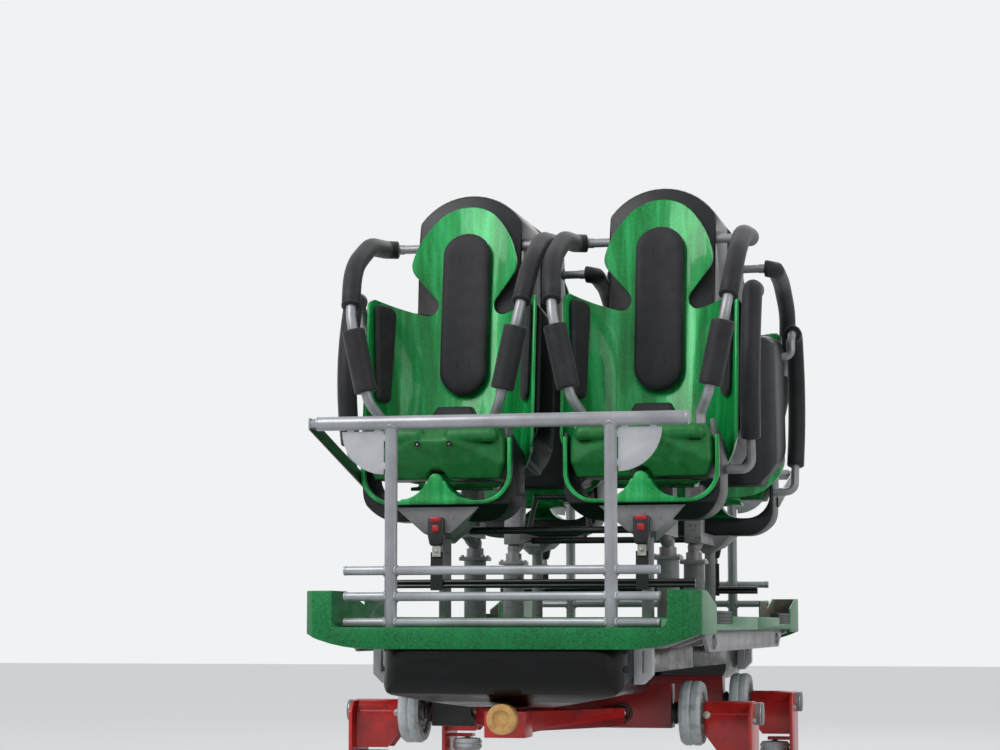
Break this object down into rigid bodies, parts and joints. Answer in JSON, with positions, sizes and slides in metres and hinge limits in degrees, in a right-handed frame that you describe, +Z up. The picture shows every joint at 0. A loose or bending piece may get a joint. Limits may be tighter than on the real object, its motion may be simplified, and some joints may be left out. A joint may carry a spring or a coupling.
{
  "type": "roller coaster car",
  "caption": "Back-to-back roller coaster car with padded bucket seats, swing-up shoulder restraints, step frames and clasping wheel carriers.",
  "frame": {"origin": "on the floor under the middle of the car, at the height of the lowest wheels", "axes": "+Y along the car towards its rear, +X to the right seen from in front, +Z up"},
  "size_m": [1.391, 2.88, 2.13],
  "materials": {
    "green_grp": "metal flake gel coat",
    "green_matte": "moulded, satin",
    "black_gloss": "moulded, glossy",
    "black_foam": "integral skin foam",
    "black_rubber": "ribbed",
    "black_metal": "semi gloss",
    "silver_paint": "silver enamel",
    "tube_grey": "grey enamel",
    "steel_grey": "grey enamel",
    "red_paint": "red enamel",
    "tyre_white": "cast polyurethane tread",
    "tan_plastic": "cast nylon",
    "belt_black": "webbing and moulded buckle"
  },
  "bodies": {
    "root": {"chassis_frame": "steel_grey", "deck_front": "green_grp", "deck_rear": "green_grp", "belly_front": "black_gloss", "belly_rear": "black_gloss", "step_frames": "silver_paint", "bar_stays": "black_metal", "foot_bars": "black_metal", "cross_frames": "black_metal", "seat_shells_front": "green_grp", "seat_shells_rear": "green_grp", "back_shells_front": "black_gloss", "back_shells_rear": "black_gloss", "seat_rims": "green_grp", "seat_cradles": "black_gloss", "back_pads": "black_foam", "wing_bolsters": "black_foam", "guard_tubes": "tube_grey", "guard_foam": "black_foam", "seat_posts": "steel_grey", "belts": "belt_black", "rubber_joints": "black_rubber", "bogie_front": "red_paint", "bogie_rear": "red_paint", "end_buffers": "tan_plastic"},
    "restraint_1": {"restraint_1": "tube_grey", "lap_block_1": "green_matte", "arm_foam_1": "black_foam"},
    "run_wheel_1": {"run_wheel_1": "tyre_white"},
    "guide_wheel_1": {"guide_wheel_1": "tyre_white"},
    "upstop_wheel_1": {"upstop_wheel_1": "tyre_white"},
    "restraint_2": {"restraint_2": "tube_grey", "lap_block_2": "green_matte", "arm_foam_2": "black_foam"},
    "run_wheel_2": {"run_wheel_2": "tyre_white"},
    "guide_wheel_2": {"guide_wheel_2": "tyre_white"},
    "upstop_wheel_2": {"upstop_wheel_2": "tyre_white"},
    "restraint_3": {"restraint_3": "tube_grey", "lap_block_3": "green_matte", "arm_foam_3": "black_foam"},
    "run_wheel_3": {"run_wheel_3": "tyre_white"},
    "guide_wheel_3": {"guide_wheel_3": "tyre_white"},
    "upstop_wheel_3": {"upstop_wheel_3": "tyre_white"},
    "restraint_4": {"restraint_4": "tube_grey", "lap_block_4": "green_matte", "arm_foam_4": "black_foam"},
    "run_wheel_4": {"run_wheel_4": "tyre_white"},
    "guide_wheel_4": {"guide_wheel_4": "tyre_white"},
    "upstop_wheel_4": {"upstop_wheel_4": "tyre_white"}
  },
  "joints": [
    {"name": "restraint_hinge_1", "type": "hinge", "parent": "root", "child": "restraint_1", "pos_m": [-0.333, -0.358, 1.95], "axis": [-1, 0, 0], "range_deg": [0, 80]},
    {"name": "run_spin_1", "type": "hinge", "parent": "root", "child": "run_wheel_1", "pos_m": [-0.46, -0.62, 0.3765], "axis": [1, 0, 0], "continuous": true},
    {"name": "guide_spin_1", "type": "hinge", "parent": "root", "child": "guide_wheel_1", "pos_m": [-0.582, -0.62, 0.209], "axis": [0, 0, 1], "continuous": true},
    {"name": "upstop_spin_1", "type": "hinge", "parent": "root", "child": "upstop_wheel_1", "pos_m": [-0.46, -0.62, 0.07], "axis": [1, 0, 0], "continuous": true},
    {"name": "restraint_hinge_2", "type": "hinge", "parent": "root", "child": "restraint_2", "pos_m": [0.333, -0.358, 1.95], "axis": [-1, 0, 0], "range_deg": [0, 80]},
    {"name": "run_spin_2", "type": "hinge", "parent": "root", "child": "run_wheel_2", "pos_m": [0.46, -0.62, 0.3765], "axis": [1, 0, 0], "continuous": true},
    {"name": "guide_spin_2", "type": "hinge", "parent": "root", "child": "guide_wheel_2", "pos_m": [0.582, -0.62, 0.209], "axis": [0, 0, 1], "continuous": true},
    {"name": "upstop_spin_2", "type": "hinge", "parent": "root", "child": "upstop_wheel_2", "pos_m": [0.46, -0.62, 0.07], "axis": [1, 0, 0], "continuous": true},
    {"name": "restraint_hinge_3", "type": "hinge", "parent": "root", "child": "restraint_3", "pos_m": [0.333, 0.358, 1.95], "axis": [1, 0, 0], "range_deg": [0, 80]},
    {"name": "run_spin_3", "type": "hinge", "parent": "root", "child": "run_wheel_3", "pos_m": [0.46, 0.62, 0.3765], "axis": [1, 0, 0], "continuous": true},
    {"name": "guide_spin_3", "type": "hinge", "parent": "root", "child": "guide_wheel_3", "pos_m": [0.582, 0.62, 0.209], "axis": [0, 0, 1], "continuous": true},
    {"name": "upstop_spin_3", "type": "hinge", "parent": "root", "child": "upstop_wheel_3", "pos_m": [0.46, 0.62, 0.07], "axis": [1, 0, 0], "continuous": true},
    {"name": "restraint_hinge_4", "type": "hinge", "parent": "root", "child": "restraint_4", "pos_m": [-0.333, 0.358, 1.95], "axis": [1, 0, 0], "range_deg": [0, 80]},
    {"name": "run_spin_4", "type": "hinge", "parent": "root", "child": "run_wheel_4", "pos_m": [-0.46, 0.62, 0.3765], "axis": [1, 0, 0], "continuous": true},
    {"name": "guide_spin_4", "type": "hinge", "parent": "root", "child": "guide_wheel_4", "pos_m": [-0.582, 0.62, 0.209], "axis": [0, 0, 1], "continuous": true},
    {"name": "upstop_spin_4", "type": "hinge", "parent": "root", "child": "upstop_wheel_4", "pos_m": [-0.46, 0.62, 0.07], "axis": [1, 0, 0], "continuous": true}
  ]
}
